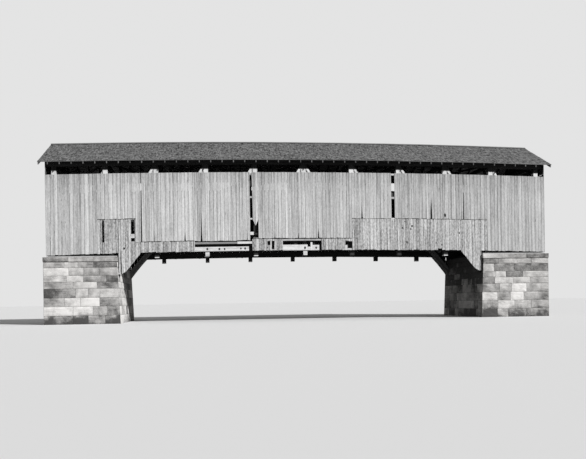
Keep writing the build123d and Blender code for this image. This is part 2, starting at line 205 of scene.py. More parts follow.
class Finish:
    """A node tree under construction, which hands back its outputs as wires."""

    def __init__(self, tree):
        self.tree = tree
        self.tree.nodes.clear()

    def node(self, kind, settings, inputs, output=0):
        made = self.tree.nodes.new(kind)
        for name, value in settings.items():
            setattr(made, name, value)
        for place, value in inputs.items():
            if isinstance(value, Wire):
                self.tree.links.new(value.socket, made.inputs[place])
            else:
                made.inputs[place].default_value = value
        if made.outputs:
            return Wire(self, made.outputs[output])


def grey(shade, warmth=0.0):
    """A near-neutral colour, a little warm or cool."""
    return (shade * (1 + warmth), shade, shade * (1 - warmth), 1)


# %% [markdown]
# ## What every finish needs
#
# Wood and stone share a few steps: the place on the object in metres, noise stretched along the
# grain, and a tone for each board, which its faces carry as an attribute. The tone also slides the
# noise, so that no two boards show the same grain.


# %% Helpers for finishes
def new_finish(name):
    material = bpy.data.materials.new(name)
    material.use_nodes = True
    return material, Finish(material.node_tree)


def place_on_object(finish):
    """The three object coordinates as wires, in metres."""
    place = finish.node("ShaderNodeTexCoord", {}, {}, "Object")
    split = finish.node("ShaderNodeSeparateXYZ", {}, {0: place})
    return [split.beside(axis) for axis in "XYZ"]


def own_tone(finish):
    """The tone that each board or stone carries, from 0 to 1."""
    return finish.node("ShaderNodeAttribute", {"attribute_name": "tone"}, {}, "Fac")


def stretched(finish, place, waves):
    """A place as one vector, with so many waves to the metre in each direction."""
    ways = {number: place[number] * waves[number] for number in range(3)}
    return finish.node("ShaderNodeCombineXYZ", {}, ways)


def uneven(finish, place, waves, detail, roughness=0.6):
    """Noise from 0 to 1."""
    vector = stretched(finish, place, waves)
    inputs = {"Vector": vector, "Scale": 1.0, "Detail": detail, "Roughness": roughness}
    return finish.node("ShaderNodeTexNoise", {}, inputs)


def close(finish, colour, roughness, height, depth):
    """Ends a finish with its colour, roughness and relief."""
    relief = {"Strength": 1.0, "Distance": depth, "Height": height}
    bump = finish.node("ShaderNodeBump", {}, relief)
    inputs = {"Base Color": colour, "Roughness": roughness, "Normal": bump}
    inputs["Specular IOR Level"] = 0.2
    surface = finish.node("ShaderNodeBsdfPrincipled", {}, inputs)
    finish.node("ShaderNodeOutputMaterial", {}, {"Surface": surface})


# %% [markdown]
# ## Wood that has stood outside
#
# Unpainted wood turns silver grey. The soft early wood wears into fine furrows, rain draws darker
# streaks, and each board keeps a tone of its own. One recipe serves boards, shingles and timbers.
# It takes the grain's direction as a function that turns a place on the object into distances
# along, across and into the grain. Two more functions can say where the wood is darker, and where
# it has another grey: painted sunlight and shade on the frame and the boards' inner faces, weathering
# on the rafters' ends and the sheathing's edge.

# %% Directions of the grain
GRAIN_SLIDE = 37.0
FURROW_DEPTH = 0.0025


def grain_along(axis):
    order = {"X": (0, 1, 2), "Y": (1, 0, 2), "Z": (2, 0, 1)}[axis]
    return lambda finish, place: [place[number] for number in order]


def grain_leaning(steepness, sideways=0):
    """Grain that rises towards midspan or the ridge."""
    length = math.hypot(1, steepness)

    def direction(finish, place):
        out = abs(place[sideways])
        along = place[2] * (steepness / length) - out * (1 / length)
        across = out * (steepness / length) + place[2] * (1 / length)
        return [along, across, place[1 - sideways]]

    return direction


def grain_round(centre_height, radius):
    """Grain that follows an arch about a centre on the Z axis."""

    def direction(finish, place):
        up = place[2] - centre_height
        turn = finish.node("ShaderNodeMath", {"operation": "ARCTAN2"}, {0: place[0], 1: up})
        flat = finish.node("ShaderNodeCombineXYZ", {}, {0: place[0], 1: up, 2: 0.0})
        reach = finish.node("ShaderNodeVectorMath", {"operation": "LENGTH"}, {0: flat}, "Value")
        return [turn * radius, reach, place[1]]

    return direction


upright, lengthwise, crosswise = map(grain_along, "ZXY")
up_the_brace = grain_leaning(BRACE_SLOPE)
down_the_roof = grain_leaning(ROOF_SLOPE, 1)
round_the_arch = grain_round(ARCH_CENTRE, ARCH_RADIUS + ARCH_DEPTH / 2)


# %% The recipe for wood
def wood(
    name, direction, greys, tone_share=0.6, streakiness=1.8, marks=0.4, bands=0.0,
    darkened_where=None, other=None, other_greys=None,
):
    """Weathered wood between two greys, or two others where a function says so."""
    material, finish = new_finish(name)
    tone = own_tone(finish)
    place = place_on_object(finish)
    along, across, deep = direction(finish, place)
    grain = (along + tone * GRAIN_SLIDE, across, deep)
    streaks = uneven(finish, grain, (0.25, 16.0, 16.0), 4.0, 0.75)
    furrows = uneven(finish, grain, (2.5, 140.0, 140.0), 4.0)
    blotches = uneven(finish, grain, (1.6, 6.0, 6.0), 4.0)
    specks = uneven(finish, grain, (7.0, 14.0, 14.0), 2.0)
    shade = tone.swing(tone_share) + streaks.swing(streakiness) + furrows.swing(0.35)
    shade = shade + blotches.swing(0.5) + specks.swing(marks)
    if bands:
        worn = uneven(finish, (along, across, deep), (3.0, 0.1, 11.0), 3.0, 0.7)
        shade = shade + worn.swing(bands)
    if darkened_where:
        shade = shade - darkened_where(place)
    cells = {"Vector": stretched(finish, grain, (1.1, 5.0, 5.0)), "Scale": 1.0}
    from_knot = finish.node("ShaderNodeTexVoronoi", {}, cells, "Distance")
    shade = shade - from_knot.fade(0.04, 0.12) * 0.4
    lightness = (shade + 0.5).spread(0.0, 1.0)
    colour = lightness.mix(*map(grey, greys))
    if other:
        colour = other(place).mix(colour, lightness.mix(*map(grey, other_greys)))
    close(finish, colour, 0.9 - furrows * 0.15, furrows + streaks * 0.4, FURROW_DEPTH)
    return material


# %% [markdown]
# ## Painted sunlight and shade
#
# The posts' heads between the boards and the eave's shadow line, and the sunlit feet of some of
# their tails, are painted pale for the sunlight on them; the rest of the frame is painted shade. The
# boards are darker towards the eave, and their inner faces are painted near black for the shade
# inside. The rafters' ends and the edge of the lowest sheathing board weather like the shingles.

# %% Places painted with sunlight and shade, and boards darker near the eave
# Heights of the painted sunlight on the posts' heads and tails, and how much darker the boards are
# near the eave.
HEAD_FOOT = (8.08, 8.18)
EAVE_SHADOW_LINE = (8.40, 8.46)
TAIL_SUNLIT_TOP = (3.645, 3.655)
DARK_TAILS_FROM = (-1.6, -1.5)
DARK_TAILS_TO = (6.9, 7.0)
EAVE_DARKENING = 0.16


def midspan_height(place):
    return place[2] + place[0] * place[0] * (CAMBER / POSTS[-1] ** 2)


# Painted sunlight: pale on the posts' heads from the top of the boards to the eave's shadow line, and
# on their tails below the shadow line of the boards' foot, except the tails between DARK_TAILS_FROM
# and DARK_TAILS_TO.
def sunlit_ends_painted(place):
    height = midspan_height(place)
    heads = height.spread(*HEAD_FOOT) * height.fade(*EAVE_SHADOW_LINE)
    dark = place[0].spread(*DARK_TAILS_FROM) * place[0].fade(*DARK_TAILS_TO)
    return heads + height.fade(*TAIL_SUNLIT_TOP) * (1 - dark)


# Darker towards the eave.
def under_eave(place):
    return midspan_height(place).spread(6.9, 8.2) * EAVE_DARKENING


# Painted shade: near black on the boards' inner faces, for the shade inside the bridge, darker than
# unweathered wood.
def inner_faces(place):
    return abs(place[1]).fade(3.266, 3.272) * abs(place[0]).fade(13.906, 13.912)


def eave_edge(place):
    return abs(place[1]).spread(3.575, 3.585)


def rafter_ends(place):
    return abs(place[1]).spread(3.545, 3.55)


# %% Wood finishes
# Painted shade: the frame's timbers are near black, as dark as the shade inside the bridge.
TIMBER_PAINTED_SHADE = (0.01, 0.05)
# The boards' inner faces take the painted shade of inner_faces.
board_look = {"tone_share": 0.35, "marks": 0.6, "other": inner_faces, "other_greys": (0.02, 0.08)}
siding_wood = wood("silver_boards", upright, (0.22, 0.82), darkened_where=under_eave, **board_look)
right_siding_wood = wood("grey_boards", upright, (0.17, 0.74), darkened_where=under_eave, **board_look)
board_look.update(streakiness=2.2, marks=1.3)
apron_wood = wood("stained_boards", upright, (0.12, 0.82), **board_look)
roof_look = {"tone_share": 0.8, "streakiness": 1.2, "bands": 3.0}
shingle_wood = wood("split_shingles", down_the_roof, (0.03, 0.27), **roof_look)
deck_wood = wood("deck_planks", crosswise, (0.05, 0.20))
# Painted sunlight: the rails seen where boards are missing are this pale grey; the tail blocks use it
# too.
rail_wood = wood("sawn_rails", lengthwise, (0.25, 0.82), marks=0.8)
# Posts, braces and wedges: painted pale where the sun falls on their heads and tails, painted shade
# elsewhere.
sunlit_ends_look = {"other": sunlit_ends_painted, "other_greys": (0.5, 0.93)}
upright_wood = wood("hewn_posts", upright, TIMBER_PAINTED_SHADE, **sunlit_ends_look)
brace_wood = wood("hewn_braces", up_the_brace, TIMBER_PAINTED_SHADE, **sunlit_ends_look)
wedge_wood = wood("driven_wedges", up_the_brace, TIMBER_PAINTED_SHADE, streakiness=0.8, **sunlit_ends_look)
lengthwise_wood = wood("hewn_lengths", lengthwise, TIMBER_PAINTED_SHADE)
crosswise_wood = wood("hewn_ties", crosswise, TIMBER_PAINTED_SHADE)
# Painted shade and light: the near ribs are near black for the shade under the bridge, the far ribs a
# lighter copy for the light on them.
arch_wood = wood("bent_ribs", round_the_arch, (0.02, 0.10))
far_arch_painted_lighter = wood("ribs_painted_lighter", round_the_arch, (0.12, 0.40))
# Painted shade: the front slope's sheathing is darker than the back's, for the shade under the eave;
# the seat strips share the back's paler grey.
paler_wood = wood("paler_sheathing", lengthwise, (0.20, 0.60))
edge_look = {"other": eave_edge, "other_greys": (0.15, 0.45)}
eave_wood = wood("eave_sheathing", lengthwise, (0.09, 0.34), **edge_look)
ridge_wood = wood("worn_ridge", lengthwise, (0.05, 0.28))
end_look = {"other": rafter_ends, "other_greys": (0.05, 0.20)}
# Painted shade: the rafters are near black for the shade under the eave.
rafter_wood = wood("sawn_rafters", down_the_roof, (0.015, 0.07), **end_look)
knot_wood = wood("knots", upright, (0.03, 0.14))
print("wood finishes made:", len(bpy.data.materials))

# %% [markdown]
# ## Iron and stone
#
# Nail heads are rusted iron. The abutments are squared blocks of a pale sedimentary stone with a
# split face. The finish has three scales: a tone for each block, beds that run level through it,
# and fine pits. Damp darkens the lowest courses.

# %% Iron and stone finishes
BLOCK_SLIDE = 23.0
DAMP_HEIGHT = 0.7
PIT_DEPTH = 0.006
RUST_DEPTH = 0.001


def iron(name):
    material, finish = new_finish(name)
    pits = uneven(finish, place_on_object(finish), (180.0, 180.0, 180.0), 3.0)
    colour = pits.mix(grey(0.03, 0.5), grey(0.12, 0.8))
    close(finish, colour, pits * 0.3 + 0.6, pits, RUST_DEPTH)
    return material


def stone(name, dark, light):
    """Split stone between two greys, darker and damp towards the ground."""
    material, finish = new_finish(name)
    tone = own_tone(finish)
    x, y, z = place_on_object(finish)
    block = (x + tone * BLOCK_SLIDE, y, z)
    clouds = uneven(finish, block, (1.6, 1.6, 1.6), 5.0)
    beds = uneven(finish, block, (1.5, 1.5, 26.0), 3.0)
    pits = uneven(finish, block, (38.0, 38.0, 38.0), 4.0)
    shade = tone * 0.95 + 0.025 + clouds.swing(1.6) + beds.swing(0.5) + pits.swing(0.9)
    damp_and_painted_light = (z + clouds.swing(0.8)).fade(0.0, DAMP_HEIGHT)
    lightness = (shade - damp_and_painted_light * 0.45).spread(0.0, 1.0)
    colour = lightness.mix(grey(dark, 0.02), grey(light, 0.02))
    close(finish, colour, 0.95 - damp_and_painted_light * 0.2, pits * 0.6 + clouds * 0.4, PIT_DEPTH)
    return material


nail_iron = iron("rusted_iron")
block_stone = stone("split_stone", 0.08, 0.80)
core_stone = stone("joint_mortar", 0.05, 0.16)
print("other finishes made:", nail_iron.name, block_stone.name, core_stone.name)

# %% [markdown]
# ## Places on the walls
#
# Each wall has a placing function, which turns a distance along it, a height and a distance
# outwards from the inner face of its boards into a point. What stands on the abutments has no
# camber, and is only mirrored.


# %% Walls
def long_wall(side):
    """The placing function of the photographed wall, -1, or the back one, 1."""

    def place(along, height, out):
        return Vector((along, side * (WALL_INNER + out), height - fall(along)))

    return place


def end_wall(end):
    """The placing function of the left end, -1, or the right one, 1."""

    def place(along, height, out):
        return Vector((end * (HALF_LENGTH + out), along, height - fall(HALF_LENGTH)))

    return place


def abutment(end, side=1):
    """The placing function of plain distances, mirrored."""
    return lambda along, height, across: Vector((end * along, side * across, height))


front_wall, back_wall = long_wall(-1), long_wall(1)
walls = {"front": front_wall, "back": back_wall, "left": end_wall(-1), "right": end_wall(1)}
print("foot of the front boards:", front_wall(HALF_LENGTH, FOOT, 0))

# %% [markdown]
# ## Starting and finishing a piece
#
# Each piece is gathered in one bmesh with a tone on every face. When it is whole, it becomes an
# object that rides on the body and takes its finish, and the nodes of the imported model that it
# stands for are hidden.


# %% Piece helpers
def new_piece():
    piece = bmesh.new()
    piece.faces.layers.float.new("tone")
    return piece


def chance_tone(dice, middle, variety):
    """A random tone from 0 to 1, near the middle one more often than not."""
    return min(max(dice.gauss(middle, variety), 0), 1)


def set_tone(piece, faces, tone):
    layer = piece.faces.layers.float["tone"]
    for face in faces:
        face[layer] = tone


def box(piece, place, tone, stages=1):
    """A block, cut into stages upwards, whose corners of -1 and 1 go where place puts them."""
    corners = bmesh.ops.create_cube(piece, size=2.0)["verts"]
    sides = {face for corner in corners for face in corner.link_faces}
    lid = max(sides, key=lambda face: face.calc_center_median().z)
    for stage in range(1, stages):
        for corner in lid.verts:
            corner.co.z = stage / stages * 2 - 1
        lid = bmesh.ops.extrude_discrete_faces(piece, faces=[lid])["faces"][0]
        for corner in lid.verts:
            corner.co.z = 1.0
        corners = corners + list(lid.verts)
    faces = {face for corner in corners for face in corner.link_faces}
    set_tone(piece, faces, tone)
    for corner in corners:
        corner.co = place(*corner.co)


def bar(piece, place, along, height, out, tone):
    """A block between two places along, two heights and two distances outwards."""
    box(piece, lambda x, y, z: place(along[x > 0], height[z > 0], out[y > 0]), tone)


def soften(piece, width):
    """Wears a narrow flat along every sharp edge."""
    corner = math.radians(20)
    edges = [e for e in piece.edges if len(e.link_faces) == 2 and e.calc_face_angle() > corner]
    bmesh.ops.bevel(
        piece, geom=edges, offset=width, offset_type="OFFSET", segments=1, profile=0.5,
        affect="EDGES", clamp_overlap=True, material=-1,
    )


def pour(piece, part):
    """Moves a small bmesh into a large one, where operators would be slow."""
    mesh = bpy.data.meshes.new("part")
    part.to_mesh(mesh)
    part.free()
    piece.from_mesh(mesh)
    bpy.data.meshes.remove(mesh)


def new_object(piece, name, material):
    mesh = bpy.data.meshes.new(name)
    piece.to_mesh(mesh)
    piece.free()
    mesh.materials.append(material)
    thing = bpy.data.objects.new(name, mesh)
    scene.collection.objects.link(thing)
    return thing


def finish_piece(piece, name, material, nodes=(), slot="truss_timber"):
    """Makes the object and hides the nodes that it stands for."""
    bmesh.ops.recalc_face_normals(piece, faces=piece.faces)
    thing = new_object(piece, name, material)
    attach(thing, "root")
    if nodes:
        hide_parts(*nodes)
    sides = [len(face.vertices) for face in thing.data.polygons]
    print(name, "faces", len(sides), "triangles", sum(sides) - 2 * len(sides))


# %% [markdown]
# ## Boards
#
# A run of boarding is laid as a carpenter lays it: board after board, each with its own width, a
# finger's gap, a saw cut that isn't quite on the line, and a slight lean off the wall where the
# nails have let go. A foot or head that isn't level is given as a function. A crack is a list of
# heights with its width at each.

# %% Laying boards
nail_places = []
NAIL_ROWS = (8.13, 6.83, 5.60, 5.69, 4.82, 4.40, 4.01)
NAIL_MARGIN = 0.02
NARROWEST, WIDEST = 0.17, 0.24
BOARD_GAP = 0.011
TIGHT_GAP = 0.004
LEAN = 0.006
BOARD_EDGE = 0.003


def level(height):
    """The same height anywhere, unless it is a function already."""
    return height if callable(height) else lambda along: height


def board_edges(start, end, cracks, dice):
    """Where boards meet, with a joint at each crack and no sliver."""
    edges = [start]
    for stop in sorted(x for x in cracks if start < x < end) + [end]:
        while stop - edges[-1] > WIDEST * 1.25:
            edges.append(edges[-1] + dice.uniform(NARROWEST, WIDEST))
        if stop - edges[-1] > WIDEST:
            edges.append((edges[-1] + stop) / 2)
        edges.append(stop)
    return edges


def crack_width(profile, height):
    for (low, narrow), (high, wide) in pairwise(profile):
        if low <= height <= high:
            return narrow + (wide - narrow) * (height - low) / (high - low)
    return 0.0


def lay_board(piece, wall, left, right, foot, head, cracks, dice, ragged, tone):
    """One board, a little out of true and cut back at cracks."""
    cut = dice.uniform(0, ragged)
    skew = dice.uniform(-0.3, 0.3) * ragged
    top_cut = dice.uniform(0, 0.3) * ragged
    tilts = {-1: dice.uniform(0, LEAN) * 0.5, 1: dice.uniform(0, LEAN) * 0.5}
    springs = {-1: dice.uniform(0, LEAN) * 0.5, 1: dice.uniform(0, LEAN) * 0.3}
    sides = {-1: cracks.get(left, []), 1: cracks.get(right, [])}
    usual_gap = BOARD_GAP if wall is front_wall else TIGHT_GAP
    middle = (left + right) / 2
    low, high = foot(middle) + cut, head(middle) - top_cut
    points = {height for profile in sides.values() for height, width in profile}
    bends = sorted(height for height in points if low < height < high)
    stages = len(bends) + 1

    def place(across, out, up):
        across = int(across)
        stage = round((up + 1) / 2 * stages)
        edge = right if across > 0 else left
        if stage == 0:
            height = foot(edge) + cut + skew * across
        else:
            height = bends[stage - 1] if stage < stages else head(edge) - top_cut
        gap = (usual_gap + crack_width(sides[across], height)) / 2
        spring = springs[-1] if stage < stages else springs[1]
        proud = tilts[across] + spring - LEAN * 0.9
        return wall(edge - across * gap, height, BOARD_THICKNESS * (out + 1) / 2 + proud)

    box(piece, place, tone, stages)
    for row in NAIL_ROWS:
        if low + NAIL_MARGIN < row < high - NAIL_MARGIN:
            for share in (0.2, 0.8):
                along = left + (right - left) * share + dice.uniform(-0.012, 0.012)
                nail_places.append((wall, along, row + dice.uniform(-0.015, 0.015)))


def wall_sheet(name, wall, runs, material, ragged, base_tone, cracks=None):
    """One node's boarding: each run has a start, an end, a foot and a head."""
    dice = random.Random(name)
    piece = new_piece()
    cracks = cracks or {}
    for start, end, foot, head in runs:
        foot, head = level(foot), level(head)
        for left, right in pairwise(board_edges(start, end, cracks, dice)):
            tone = chance_tone(dice, base_tone, 0.24)
            lay_board(piece, wall, left, right, foot, head, cracks, dice, ragged, tone)
    soften(piece, BOARD_EDGE)
    finish_piece(piece, name + "_boards", material, [name], "siding_board")


# %% [markdown]
# ## The photographed wall
#
# Long boards run from the eave to the foot, but aprons of shorter, more stained boards have been
# nailed on at both ends, and rot at the foot has been cut away and partly covered with short
# boards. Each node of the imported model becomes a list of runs: from, to, foot and head. Beside the
# arches the foot slopes down.

# %% Heights and places of the boarding
TOP = 8.21
LEFT_TOP = 5.725
APRON_TOP = 5.64
APRON_START = 2.66
APRON_END = 11.23
PATCH_START = -9.2
PATCH_TOP = 4.46
MIDDLE_SEAM = 4.53
SEAM = 0.006
WIDE_SEAM = 0.02
SKIRT_START = 8.94
SKIRT_END = 10.13
SLOT_FOOT = 4.53
SLOT_HEAD = 5.66
GAP_EDGE = -2.91
BREAK_EDGE = -2.56
SAG = 0.03
OPENING_START = -6.04


def skirt_foot(start, top, toe_start, toe):
    """A foot that slopes down beside an arch and is level again at its toe."""
    slope = (top - toe) / (toe_start - start)
    return lambda along: max(top - slope * (abs(along) - start), toe) + fall(along)


def worn_foot(along):
    """The foot of the boards over the left opening, which sags away from the gap."""
    sag = SAG * min(max((-3.2 - along) / 0.6, 0), 1)
    return PATCH_TOP + SEAM - (sag if along > OPENING_START else 0)


def splintered(along):
    """The pointed end of the broken board."""
    return 5.20 + 2.2 * abs(along - (GAP_EDGE + BREAK_EDGE) / 2)


skirt = skirt_foot(SKIRT_START, 3.76, 9.88, 2.63)

# %% Runs and cracks of the long boards
front_runs = {
    "front_siding_left": [
        (-HALF_LENGTH, -APRON_END, FOOT, TOP),
        (-APRON_END, PATCH_START, LEFT_TOP + SEAM, TOP),
        (PATCH_START, -3.01, worn_foot, TOP),
    ],
    "front_siding_middle": [
        (GAP_EDGE, BREAK_EDGE, splintered, TOP),
        (GAP_EDGE, BREAK_EDGE, MIDDLE_SEAM + WIDE_SEAM, 4.60),
        (BREAK_EDGE, APRON_START, MIDDLE_SEAM + WIDE_SEAM, TOP),
        (APRON_START, 4.94, APRON_TOP + SEAM, TOP),
    ],
    "front_siding_right": [(5.12, 10.5, APRON_TOP + SEAM, TOP), (10.5, HALF_LENGTH, FOOT, TOP)],
}
long_cracks = {
    GAP_EDGE: [(4.5, 0.10), (6.9, 0.06), (8.22, 0.0)],
    -8.892: [(4.4, 0.05), (8.3, 0.025)],
    -8.226: [(4.4, 0.03), (5.4, 0.0)],
    -6.57: [(4.4, 0.08), (5.0, 0.0)],
    -5.679: [(4.4, 0.10), (4.8, 0.055), (6.0, 0.0)],
    -3.19: [(4.4, 0.04), (5.2, 0.0)],
    -1.665: [(4.4, 0.05), (4.85, 0.0)],
    -1.266: [(4.4, 0.03), (4.85, 0.0)],
    -0.343: [(4.4, 0.07), (4.85, 0.0)],
    0.771: [(4.4, 0.08), (4.7, 0.05), (5.1, 0.0)],
    3.245: [(5.6, 0.13), (5.75, 0.06), (6.6, 0.0)],
    7.225: [(5.6, 0.11), (6.1, 0.08), (6.9, 0.0)],
    8.026: [(5.74, 0.0), (5.80, 0.07), (5.90, 0.10), (6.0, 0.0)],
    9.117: [(5.6, 0.05), (7.3, 0.015)],
}
for name, runs in front_runs.items():
    material = right_siding_wood if name == "front_siding_right" else siding_wood
    wall_sheet(name, front_wall, runs, material, 0.03, 0.55, long_cracks)

# %% Runs and cracks of the aprons and patches
apron_runs = {
    "front_left_apron": [
        (-APRON_END, -10.97, FOOT, LEFT_TOP),
        (-10.97, -10.87, FOOT, SLOT_FOOT - 0.03),
        (-10.97, -10.87, SLOT_HEAD, LEFT_TOP),
        (-10.87, -SKIRT_END, FOOT, LEFT_TOP),
        (-SKIRT_END, -9.45, skirt, LEFT_TOP),
        (-9.45, -9.25, skirt, SLOT_FOOT),
        (-9.45, -9.25, SLOT_HEAD, LEFT_TOP),
        (-9.25, PATCH_START, skirt, LEFT_TOP),
    ],
    "front_right_apron": [
        (APRON_START, 7.59, FOOT, APRON_TOP),
        (7.59, 7.83, 3.97, APRON_TOP),
        (7.83, SKIRT_START, FOOT, APRON_TOP),
    ],
    "front_right_skirt": [
        (SKIRT_START, SKIRT_END, skirt, APRON_TOP), (SKIRT_END, 10.5, FOOT, APRON_TOP),
    ],
    "front_lower_boards": [
        (PATCH_START, -8.946, skirt, PATCH_TOP),
        (-SKIRT_START, OPENING_START, FOOT, PATCH_TOP),
        (GAP_EDGE, -1.22, FOOT, MIDDLE_SEAM),
        (0.93, 2.28, FOOT, MIDDLE_SEAM),
        (2.28, APRON_START, 4.37, MIDDLE_SEAM),
    ],
}
short_cracks = {
    -10.006: [(2.6, 0.05), (3.9, 0.03), (4.1, 0.0)],
    -1.994: [(4.18, 0.0), (4.19, 0.14), (4.41, 0.14), (4.42, 0.0)],
    -1.77: [(3.96, 0.0), (3.97, 0.13), (4.41, 0.13), (4.42, 0.0)],
}
for name, runs in apron_runs.items():
    wall_sheet(name, front_wall, runs, apron_wood, 0.04, 0.42, short_cracks)

# %% [markdown]
# ## The back wall
#
# The other side isn't in the photograph. It gets the same boarding, the same at both ends and
# without gaps. Its aprons are cut higher beside the arches, because the undersides of the far ribs
# show.

# %% Back wall
BACK_START = 9.30
BACK_END = 10.165
BACK_MIDDLE = 4.05
back_skirt = skirt_foot(BACK_START, FOOT - fall(BACK_START), 10.0, 2.95)
long_boards = [
    (-HALF_LENGTH, -APRON_END, FOOT, TOP),
    (-APRON_END, -BACK_START, APRON_TOP + SEAM, TOP),
    (-BACK_START, -BACK_MIDDLE, FOOT, TOP),
]
middle_boards = [(-BACK_MIDDLE, BACK_MIDDLE, FOOT, TOP)]
apron_boards = [
    (-APRON_END, -BACK_END, FOOT, APRON_TOP),
    (-BACK_END, -BACK_START, back_skirt, APRON_TOP),
]


def mirrored(runs):
    """The same runs at the other end of the wall."""
    return [(-end, -start, foot, head) for start, end, foot, head in reversed(runs)]


wall_sheet("back_siding_left", back_wall, long_boards, siding_wood, 0.06, 0.5)
wall_sheet("back_siding_middle", back_wall, middle_boards, siding_wood, 0.06, 0.5)
wall_sheet("back_siding_right", back_wall, mirrored(long_boards), siding_wood, 0.06, 0.5)
wall_sheet("back_left_apron", back_wall, apron_boards, apron_wood, 0.03, 0.42)
wall_sheet("back_right_apron", back_wall, mirrored(apron_boards), apron_wood, 0.03, 0.42)

# %% [markdown]
# ## Knots
#
# A few boards have large knots that read as dark spots. Each is a round plug, slightly proud,
# because weather wears the soft wood round it away.

# %% Large knots
PLUG_HEIGHT = 0.006
KNOT_STRETCH = 1.3
big_knots = [
    (5.551, 5.125, 0.048), (6.101, 5.243, 0.056), (6.040, 5.074, 0.050), (5.701, 5.493, 0.042),
    (5.798, 4.339, 0.056), (7.477, 4.296, 0.042), (7.823, 4.200, 0.050), (8.858, 4.878, 0.040),
    (-9.835, 4.146, 0.060), (-9.740, 3.415, 0.028), (-2.070, 4.050, 0.040),
]
rail_knots = [
    (-5.374, 4.015, 0.062), (-4.716, 4.010, 0.062), (-4.433, 4.006, 0.056), (-3.54, 4.020, 0.050),
    (-3.31, 4.020, 0.060), (0.008, 4.025, 0.066), (0.635, 4.023, 0.060),
]


def plug(piece, wall, along, height, face, radius, taper, sides, stretch=1.0):
    """A low round plug, half of it proud of a face of a wall."""
    made = bmesh.ops.create_cone(
        piece, cap_ends=True, cap_tris=False, segments=sides, radius1=radius,
        radius2=radius * taper, depth=PLUG_HEIGHT,
    )
    for vert in made["verts"]:
        x, y, z = vert.co
        vert.co = wall(along + x, height + y * stretch, face - PLUG_HEIGHT / 2 + z)


for name, knots, face, slot in (
    ("large_knots", big_knots, BOARD_THICKNESS, "siding_board"),
    ("rail_knots", rail_knots, 0.002, "truss_timber"),
):
    piece = new_piece()
    for along, height, radius in knots:
        plug(piece, front_wall, along, height, face, radius, 0.8, 10, KNOT_STRETCH)
    finish_piece(piece, name, knot_wood, [], slot)

# %% [markdown]
# ## The portals
#
# The ends are boarded upright too. The boards over the roadway are cut to the slope of the roof.

# %% Portals and gables
PORTAL_HEAD = 8.15 + fall(HALF_LENGTH)
PORTAL_HALF = 2.60
WALL_OUTER = WALL_INNER + BOARD_THICKNESS
SLAB_DROP = ROOF_THICKNESS * math.hypot(1, ROOF_SLOPE)
ROOF_CLEARANCE = 0.004


def under_roof(along):
    return RIDGE - SLAB_DROP - ROOF_SLOPE * abs(along) - ROOF_CLEARANCE


gable = [(-WALL_OUTER, 0, PORTAL_HEAD, under_roof)]
cheek = [(-WALL_OUTER, -PORTAL_HALF, FOOT, PORTAL_HEAD)]
for end in ("left", "right"):
    wall = walls[end]
    wall_sheet(end + "_gable", wall, gable + mirrored(gable), siding_wood, 0.02, 0.45)
    wall_sheet(end + "_portal_boards", wall, cheek + mirrored(cheek), siding_wood, 0.02, 0.5)

# %% [markdown]
# ## Nails
#
# Every board is nailed twice to each rail that it crosses, at the places noted while it was laid.
# Nail heads are low domes with six sides.

# %% Nail heads
NAIL_RADIUS = 0.006
NAILS_AT_ONCE = 100
for name, wall in walls.items():
    piece = new_piece()
    places = [place[1:] for place in nail_places if place[0] is wall]
    for first in range(0, len(places), NAILS_AT_ONCE):
        few = new_piece()
        for along, height in places[first : first + NAILS_AT_ONCE]:
            plug(few, wall, along, height, BOARD_THICKNESS, NAIL_RADIUS, 0.5, 6)
        pour(piece, few)
    finish_piece(piece, name + "_nail_heads", nail_iron)

# %% [markdown]
# ## Shingles
#
# Courses of split shingles lie on spaced boards. Each shingle is a wedge: its thick butt shows, and
# its thin end slides under the next course. There are thousands, so each is only a cube with moved
# corners, and each course is a small mesh of its own at first.

# %% Shingles and sheathing
SLOPE_LENGTH = math.hypot(EAVE_REACH, RIDGE - EAVE)
SLOPE_COS = EAVE_REACH / SLOPE_LENGTH
SLOPE_SIN = (RIDGE - EAVE) / SLOPE_LENGTH
EXPOSURE = 0.14
SHINGLE_WIDTHS = (0.08, 0.22)
SHINGLE_BED = 0.021
SHINGLE_HEAD = 0.029
SHINGLE_BUTT = 0.044
SHEATHING = 0.020
SHEATHING_WIDTH = 0.16
SHEATHING_PITCH = 0.19


def roof_slope(side):
    """The placing function of a slope: along, down from the ridge and outwards."""

    def place(along, down, lift):
        rise = lift - ROOF_THICKNESS
        y = down * SLOPE_COS + rise * SLOPE_SIN
        z = RIDGE - down * SLOPE_SIN + rise * SLOPE_COS
        return Vector((along, side * y, z - fall(along)))

    return place


def shingle_course(slope, butt, dice):
    piece = new_piece()
    x = -ROOF_HALF + dice.uniform(0, 0.05)
    while x < ROOF_HALF - 0.06:
        width = min(dice.uniform(*SHINGLE_WIDTHS), ROOF_HALF - x)
        centre, half = x + width / 2, width / 2 - 0.002
        slip = dice.uniform(-0.012, 0.006)
        lift = dice.uniform(-0.001, 0.004)
        tone = chance_tone(dice, 0.5, 0.2)

        def place(across, out, up):
            down = min(butt + slip, SLOPE_LENGTH) if up < 0 else max(butt - EXPOSURE * 1.3, 0.01)
            top = SHINGLE_BUTT + lift if up < 0 else SHINGLE_HEAD
            return slope(centre + across * half, down, top if out > 0 else SHINGLE_BED)

        box(piece, place, tone)
        x += width
    return piece


def sheathing(slope, dice):
    """Spaced boards under the shingles, in lengths that follow the camber."""
    piece = new_piece()
    down = 0.02
    while down < SLOPE_LENGTH - 0.05:
        width = min(SHEATHING_WIDTH, SLOPE_LENGTH - down)
        for ends in lengths(-ROOF_HALF, ROOF_HALF):
            head = down + dice.uniform(-0.004, 0.004)
            tone = dice.uniform(0.2, 0.6)
            bar(piece, slope, ends, (head + width, head), (0, SHEATHING), tone)
        down += SHEATHING_PITCH
    return piece


